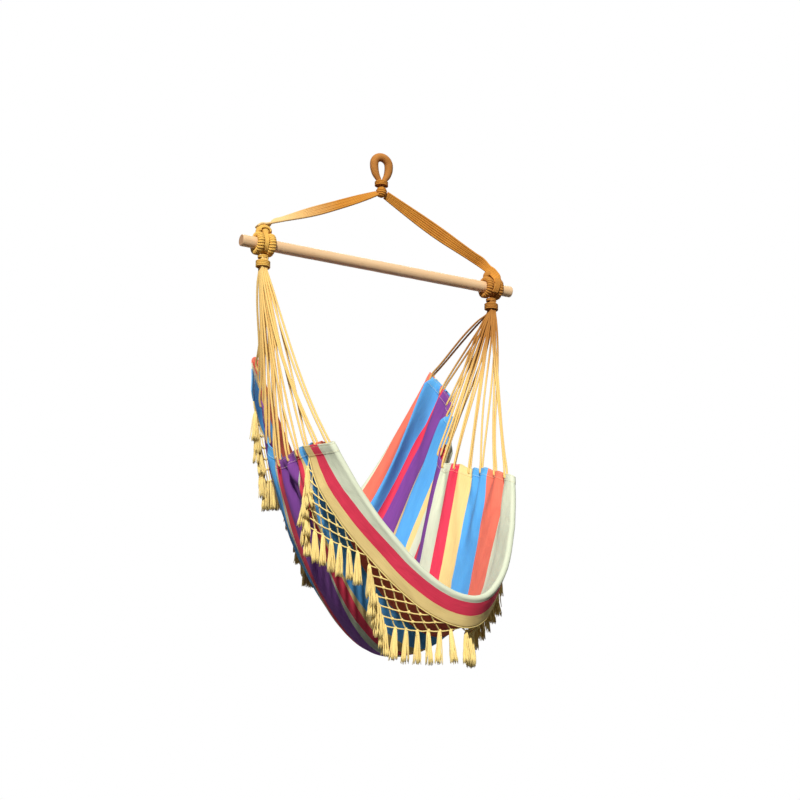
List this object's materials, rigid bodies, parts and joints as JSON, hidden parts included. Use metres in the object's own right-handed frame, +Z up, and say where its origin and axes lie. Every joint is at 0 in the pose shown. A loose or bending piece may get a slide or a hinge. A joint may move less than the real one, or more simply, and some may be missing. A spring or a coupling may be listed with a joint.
{
  "type": "hammock chair",
  "caption": "Hanging hammock chair: a striped cloth sling with knotted fringe, strung from a wooden spreader bar under a rope eye.",
  "frame": {"origin": "the inner crown of the rope eye, where a hook bears", "axes": "+Z up, +X along the spreader bar to the sitter's left, -Y to the front of the seat"},
  "size_m": [1, 0.8474, 1.7565],
  "materials": {
    "bridle_rope": "twisted cotton rope, amber brown",
    "collar_cord": "knotted cotton cord, golden",
    "string_cord": "twisted cotton cord, pale gold",
    "bar_wood": "turned beech, sanded and clear coated",
    "striped_cloth": "woven cotton in lengthwise stripes",
    "hem_cloth": "the same cotton doubled and stitched",
    "fringe_yarn": "knotted cotton yarn, pale gold"
  },
  "bodies": {
    "hook_eye": {"hanging_eye": "bridle_rope"},
    "swivel": {"eye_seizing": "bridle_rope"},
    "throat": {"bridle_throat": "bridle_rope"},
    "bridle": {"bridle_ring_left": "bridle_rope", "bridle_ring_right": "bridle_rope", "bridle_strand_left_1": "bridle_rope", "bridle_strand_left_2": "bridle_rope", "bridle_strand_left_3": "bridle_rope", "bridle_strand_right_1": "bridle_rope", "bridle_strand_right_2": "bridle_rope", "bridle_strand_right_3": "bridle_rope"},
    "sling": {"spreader_bar": "bar_wood", "collar_left_outer": "collar_cord", "collar_left_inner": "collar_cord", "collar_right_outer": "collar_cord", "collar_right_inner": "collar_cord", "sling_neck_left": "collar_cord", "sling_neck_right": "collar_cord", "neck_binding_left": "collar_cord", "neck_binding_right": "collar_cord", "string_left_01": "string_cord", "string_left_02": "string_cord", "string_left_03": "string_cord", "string_left_04": "string_cord", "string_left_05": "string_cord", "string_left_06": "string_cord", "string_left_07": "string_cord", "string_left_08": "string_cord", "string_left_09": "string_cord", "string_left_10": "string_cord", "string_left_11": "string_cord", "string_left_12": "string_cord", "string_right_01": "string_cord", "string_right_02": "string_cord", "string_right_03": "string_cord", "string_right_04": "string_cord", "string_right_05": "string_cord", "string_right_06": "string_cord", "string_right_07": "string_cord", "string_right_08": "string_cord", "string_right_09": "string_cord", "string_right_10": "string_cord", "string_right_11": "string_cord", "string_right_12": "string_cord", "hem_left": "hem_cloth", "hem_right": "hem_cloth", "seat_cloth": "striped_cloth", "front_fringe_1": "fringe_yarn", "front_fringe_2": "fringe_yarn", "front_fringe_3": "fringe_yarn", "front_fringe_4": "fringe_yarn", "back_fringe_1": "fringe_yarn", "back_fringe_2": "fringe_yarn", "back_fringe_3": "fringe_yarn", "back_fringe_4": "fringe_yarn"}
  },
  "joints": [
    {"name": "turn", "type": "hinge", "parent": "hook_eye", "child": "swivel", "pos_m": [0, 0, -0.0813], "axis": [0, 0, 1], "range_deg": [-90, 90]},
    {"name": "side_tilt", "type": "hinge", "parent": "swivel", "child": "throat", "pos_m": [0, 0, -0.11055], "axis": [0, 1, 0], "range_deg": [-20, 20]},
    {"name": "swing", "type": "hinge", "parent": "throat", "child": "bridle", "pos_m": [0, 0, -0.11055], "axis": [1, 0, 0], "range_deg": [-30, 30]},
    {"name": "seat_rock", "type": "hinge", "parent": "bridle", "child": "sling", "pos_m": [0, 0, -0.376], "axis": [1, 0, 0], "range_deg": [-25, 25]}
  ]
}
